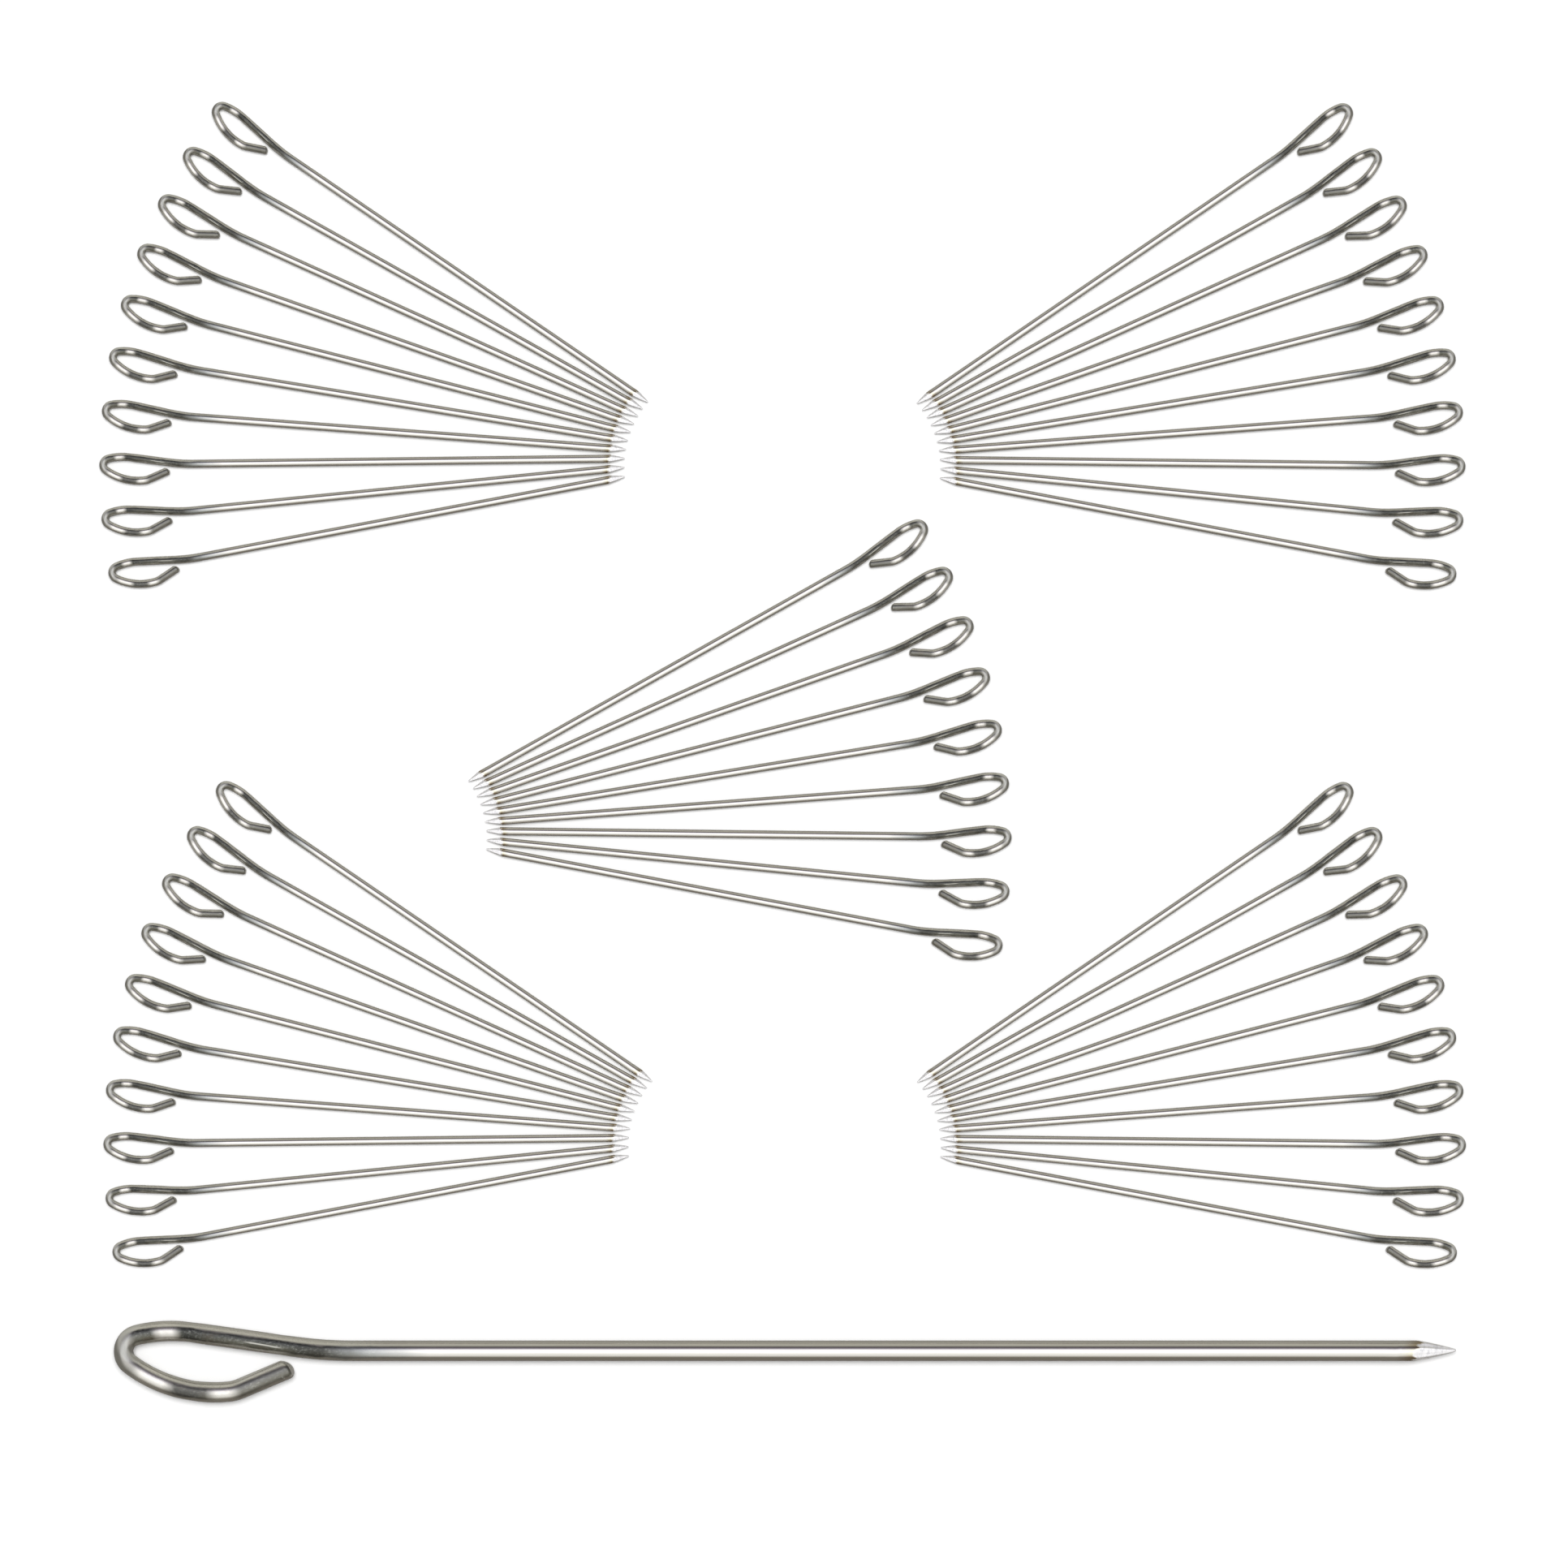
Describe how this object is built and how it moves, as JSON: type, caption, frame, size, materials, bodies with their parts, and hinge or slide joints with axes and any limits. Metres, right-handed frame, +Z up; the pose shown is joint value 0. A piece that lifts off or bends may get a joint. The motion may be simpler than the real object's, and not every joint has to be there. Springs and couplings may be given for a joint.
{
  "type": "lacing needle set",
  "caption": "Set of bent-wire lacing needles, each with one ground point and an open teardrop eye, laid flat in fans above one large needle of the same shape.",
  "frame": {"origin": "centre of the laid-out set's bounding box, on the surface that it lies on", "axes": "+X to the right, along the large needle towards its point; +Y away from the large needle, towards the upper fans; +Z up from the surface"},
  "size_m": [0.299, 0.2845, 0.0045],
  "materials": {
    "steel_wire": "bright drawn stainless wire, darker and finely scuffed where it is bent, with a pale ground point"
  },
  "bodies": {
    "large_needle": {"large_needle": "steel_wire"},
    "upper_left_needle_1": {"upper_left_needle_1": "steel_wire"},
    "upper_left_needle_2": {"upper_left_needle_2": "steel_wire"},
    "upper_left_needle_3": {"upper_left_needle_3": "steel_wire"},
    "upper_left_needle_4": {"upper_left_needle_4": "steel_wire"},
    "upper_left_needle_5": {"upper_left_needle_5": "steel_wire"},
    "upper_left_needle_6": {"upper_left_needle_6": "steel_wire"},
    "upper_left_needle_7": {"upper_left_needle_7": "steel_wire"},
    "upper_left_needle_8": {"upper_left_needle_8": "steel_wire"},
    "upper_left_needle_9": {"upper_left_needle_9": "steel_wire"},
    "upper_left_needle_10": {"upper_left_needle_10": "steel_wire"},
    "upper_right_needle_1": {"upper_right_needle_1": "steel_wire"},
    "upper_right_needle_2": {"upper_right_needle_2": "steel_wire"},
    "upper_right_needle_3": {"upper_right_needle_3": "steel_wire"},
    "upper_right_needle_4": {"upper_right_needle_4": "steel_wire"},
    "upper_right_needle_5": {"upper_right_needle_5": "steel_wire"},
    "upper_right_needle_6": {"upper_right_needle_6": "steel_wire"},
    "upper_right_needle_7": {"upper_right_needle_7": "steel_wire"},
    "upper_right_needle_8": {"upper_right_needle_8": "steel_wire"},
    "upper_right_needle_9": {"upper_right_needle_9": "steel_wire"},
    "upper_right_needle_10": {"upper_right_needle_10": "steel_wire"},
    "middle_needle_1": {"middle_needle_1": "steel_wire"},
    "middle_needle_2": {"middle_needle_2": "steel_wire"},
    "middle_needle_3": {"middle_needle_3": "steel_wire"},
    "middle_needle_4": {"middle_needle_4": "steel_wire"},
    "middle_needle_5": {"middle_needle_5": "steel_wire"},
    "middle_needle_6": {"middle_needle_6": "steel_wire"},
    "middle_needle_7": {"middle_needle_7": "steel_wire"},
    "middle_needle_8": {"middle_needle_8": "steel_wire"},
    "middle_needle_9": {"middle_needle_9": "steel_wire"},
    "lower_left_needle_1": {"lower_left_needle_1": "steel_wire"},
    "lower_left_needle_2": {"lower_left_needle_2": "steel_wire"},
    "lower_left_needle_3": {"lower_left_needle_3": "steel_wire"},
    "lower_left_needle_4": {"lower_left_needle_4": "steel_wire"},
    "lower_left_needle_5": {"lower_left_needle_5": "steel_wire"},
    "lower_left_needle_6": {"lower_left_needle_6": "steel_wire"},
    "lower_left_needle_7": {"lower_left_needle_7": "steel_wire"},
    "lower_left_needle_8": {"lower_left_needle_8": "steel_wire"},
    "lower_left_needle_9": {"lower_left_needle_9": "steel_wire"},
    "lower_left_needle_10": {"lower_left_needle_10": "steel_wire"},
    "lower_right_needle_1": {"lower_right_needle_1": "steel_wire"},
    "lower_right_needle_2": {"lower_right_needle_2": "steel_wire"},
    "lower_right_needle_3": {"lower_right_needle_3": "steel_wire"},
    "lower_right_needle_4": {"lower_right_needle_4": "steel_wire"},
    "lower_right_needle_5": {"lower_right_needle_5": "steel_wire"},
    "lower_right_needle_6": {"lower_right_needle_6": "steel_wire"},
    "lower_right_needle_7": {"lower_right_needle_7": "steel_wire"},
    "lower_right_needle_8": {"lower_right_needle_8": "steel_wire"},
    "lower_right_needle_9": {"lower_right_needle_9": "steel_wire"},
    "lower_right_needle_10": {"lower_right_needle_10": "steel_wire"}
  },
  "joints": [
    {"name": "upper_left_needle_1_lift", "type": "slide", "parent": "large_needle", "child": "upper_left_needle_1", "axis": [0, 0, 1], "range_m": [0, 0.03]},
    {"name": "upper_left_needle_2_lift", "type": "slide", "parent": "large_needle", "child": "upper_left_needle_2", "axis": [0, 0, 1], "range_m": [0, 0.03]},
    {"name": "upper_left_needle_3_lift", "type": "slide", "parent": "large_needle", "child": "upper_left_needle_3", "axis": [0, 0, 1], "range_m": [0, 0.03]},
    {"name": "upper_left_needle_4_lift", "type": "slide", "parent": "large_needle", "child": "upper_left_needle_4", "axis": [0, 0, 1], "range_m": [0, 0.03]},
    {"name": "upper_left_needle_5_lift", "type": "slide", "parent": "large_needle", "child": "upper_left_needle_5", "axis": [0, 0, 1], "range_m": [0, 0.03]},
    {"name": "upper_left_needle_6_lift", "type": "slide", "parent": "large_needle", "child": "upper_left_needle_6", "axis": [0, 0, 1], "range_m": [0, 0.03]},
    {"name": "upper_left_needle_7_lift", "type": "slide", "parent": "large_needle", "child": "upper_left_needle_7", "axis": [0, 0, 1], "range_m": [0, 0.03]},
    {"name": "upper_left_needle_8_lift", "type": "slide", "parent": "large_needle", "child": "upper_left_needle_8", "axis": [0, 0, 1], "range_m": [0, 0.03]},
    {"name": "upper_left_needle_9_lift", "type": "slide", "parent": "large_needle", "child": "upper_left_needle_9", "axis": [0, 0, 1], "range_m": [0, 0.03]},
    {"name": "upper_left_needle_10_lift", "type": "slide", "parent": "large_needle", "child": "upper_left_needle_10", "axis": [0, 0, 1], "range_m": [0, 0.03]},
    {"name": "upper_right_needle_1_lift", "type": "slide", "parent": "large_needle", "child": "upper_right_needle_1", "axis": [0, 0, 1], "range_m": [0, 0.03]},
    {"name": "upper_right_needle_2_lift", "type": "slide", "parent": "large_needle", "child": "upper_right_needle_2", "axis": [0, 0, 1], "range_m": [0, 0.03]},
    {"name": "upper_right_needle_3_lift", "type": "slide", "parent": "large_needle", "child": "upper_right_needle_3", "axis": [0, 0, 1], "range_m": [0, 0.03]},
    {"name": "upper_right_needle_4_lift", "type": "slide", "parent": "large_needle", "child": "upper_right_needle_4", "axis": [0, 0, 1], "range_m": [0, 0.03]},
    {"name": "upper_right_needle_5_lift", "type": "slide", "parent": "large_needle", "child": "upper_right_needle_5", "axis": [0, 0, 1], "range_m": [0, 0.03]},
    {"name": "upper_right_needle_6_lift", "type": "slide", "parent": "large_needle", "child": "upper_right_needle_6", "axis": [0, 0, 1], "range_m": [0, 0.03]},
    {"name": "upper_right_needle_7_lift", "type": "slide", "parent": "large_needle", "child": "upper_right_needle_7", "axis": [0, 0, 1], "range_m": [0, 0.03]},
    {"name": "upper_right_needle_8_lift", "type": "slide", "parent": "large_needle", "child": "upper_right_needle_8", "axis": [0, 0, 1], "range_m": [0, 0.03]},
    {"name": "upper_right_needle_9_lift", "type": "slide", "parent": "large_needle", "child": "upper_right_needle_9", "axis": [0, 0, 1], "range_m": [0, 0.03]},
    {"name": "upper_right_needle_10_lift", "type": "slide", "parent": "large_needle", "child": "upper_right_needle_10", "axis": [0, 0, 1], "range_m": [0, 0.03]},
    {"name": "middle_needle_1_lift", "type": "slide", "parent": "large_needle", "child": "middle_needle_1", "axis": [0, 0, 1], "range_m": [0, 0.03]},
    {"name": "middle_needle_2_lift", "type": "slide", "parent": "large_needle", "child": "middle_needle_2", "axis": [0, 0, 1], "range_m": [0, 0.03]},
    {"name": "middle_needle_3_lift", "type": "slide", "parent": "large_needle", "child": "middle_needle_3", "axis": [0, 0, 1], "range_m": [0, 0.03]},
    {"name": "middle_needle_4_lift", "type": "slide", "parent": "large_needle", "child": "middle_needle_4", "axis": [0, 0, 1], "range_m": [0, 0.03]},
    {"name": "middle_needle_5_lift", "type": "slide", "parent": "large_needle", "child": "middle_needle_5", "axis": [0, 0, 1], "range_m": [0, 0.03]},
    {"name": "middle_needle_6_lift", "type": "slide", "parent": "large_needle", "child": "middle_needle_6", "axis": [0, 0, 1], "range_m": [0, 0.03]},
    {"name": "middle_needle_7_lift", "type": "slide", "parent": "large_needle", "child": "middle_needle_7", "axis": [0, 0, 1], "range_m": [0, 0.03]},
    {"name": "middle_needle_8_lift", "type": "slide", "parent": "large_needle", "child": "middle_needle_8", "axis": [0, 0, 1], "range_m": [0, 0.03]},
    {"name": "middle_needle_9_lift", "type": "slide", "parent": "large_needle", "child": "middle_needle_9", "axis": [0, 0, 1], "range_m": [0, 0.03]},
    {"name": "lower_left_needle_1_lift", "type": "slide", "parent": "large_needle", "child": "lower_left_needle_1", "axis": [0, 0, 1], "range_m": [0, 0.03]},
    {"name": "lower_left_needle_2_lift", "type": "slide", "parent": "large_needle", "child": "lower_left_needle_2", "axis": [0, 0, 1], "range_m": [0, 0.03]},
    {"name": "lower_left_needle_3_lift", "type": "slide", "parent": "large_needle", "child": "lower_left_needle_3", "axis": [0, 0, 1], "range_m": [0, 0.03]},
    {"name": "lower_left_needle_4_lift", "type": "slide", "parent": "large_needle", "child": "lower_left_needle_4", "axis": [0, 0, 1], "range_m": [0, 0.03]},
    {"name": "lower_left_needle_5_lift", "type": "slide", "parent": "large_needle", "child": "lower_left_needle_5", "axis": [0, 0, 1], "range_m": [0, 0.03]},
    {"name": "lower_left_needle_6_lift", "type": "slide", "parent": "large_needle", "child": "lower_left_needle_6", "axis": [0, 0, 1], "range_m": [0, 0.03]},
    {"name": "lower_left_needle_7_lift", "type": "slide", "parent": "large_needle", "child": "lower_left_needle_7", "axis": [0, 0, 1], "range_m": [0, 0.03]},
    {"name": "lower_left_needle_8_lift", "type": "slide", "parent": "large_needle", "child": "lower_left_needle_8", "axis": [0, 0, 1], "range_m": [0, 0.03]},
    {"name": "lower_left_needle_9_lift", "type": "slide", "parent": "large_needle", "child": "lower_left_needle_9", "axis": [0, 0, 1], "range_m": [0, 0.03]},
    {"name": "lower_left_needle_10_lift", "type": "slide", "parent": "large_needle", "child": "lower_left_needle_10", "axis": [0, 0, 1], "range_m": [0, 0.03]},
    {"name": "lower_right_needle_1_lift", "type": "slide", "parent": "large_needle", "child": "lower_right_needle_1", "axis": [0, 0, 1], "range_m": [0, 0.03]},
    {"name": "lower_right_needle_2_lift", "type": "slide", "parent": "large_needle", "child": "lower_right_needle_2", "axis": [0, 0, 1], "range_m": [0, 0.03]},
    {"name": "lower_right_needle_3_lift", "type": "slide", "parent": "large_needle", "child": "lower_right_needle_3", "axis": [0, 0, 1], "range_m": [0, 0.03]},
    {"name": "lower_right_needle_4_lift", "type": "slide", "parent": "large_needle", "child": "lower_right_needle_4", "axis": [0, 0, 1], "range_m": [0, 0.03]},
    {"name": "lower_right_needle_5_lift", "type": "slide", "parent": "large_needle", "child": "lower_right_needle_5", "axis": [0, 0, 1], "range_m": [0, 0.03]},
    {"name": "lower_right_needle_6_lift", "type": "slide", "parent": "large_needle", "child": "lower_right_needle_6", "axis": [0, 0, 1], "range_m": [0, 0.03]},
    {"name": "lower_right_needle_7_lift", "type": "slide", "parent": "large_needle", "child": "lower_right_needle_7", "axis": [0, 0, 1], "range_m": [0, 0.03]},
    {"name": "lower_right_needle_8_lift", "type": "slide", "parent": "large_needle", "child": "lower_right_needle_8", "axis": [0, 0, 1], "range_m": [0, 0.03]},
    {"name": "lower_right_needle_9_lift", "type": "slide", "parent": "large_needle", "child": "lower_right_needle_9", "axis": [0, 0, 1], "range_m": [0, 0.03]},
    {"name": "lower_right_needle_10_lift", "type": "slide", "parent": "large_needle", "child": "lower_right_needle_10", "axis": [0, 0, 1], "range_m": [0, 0.03]}
  ]
}
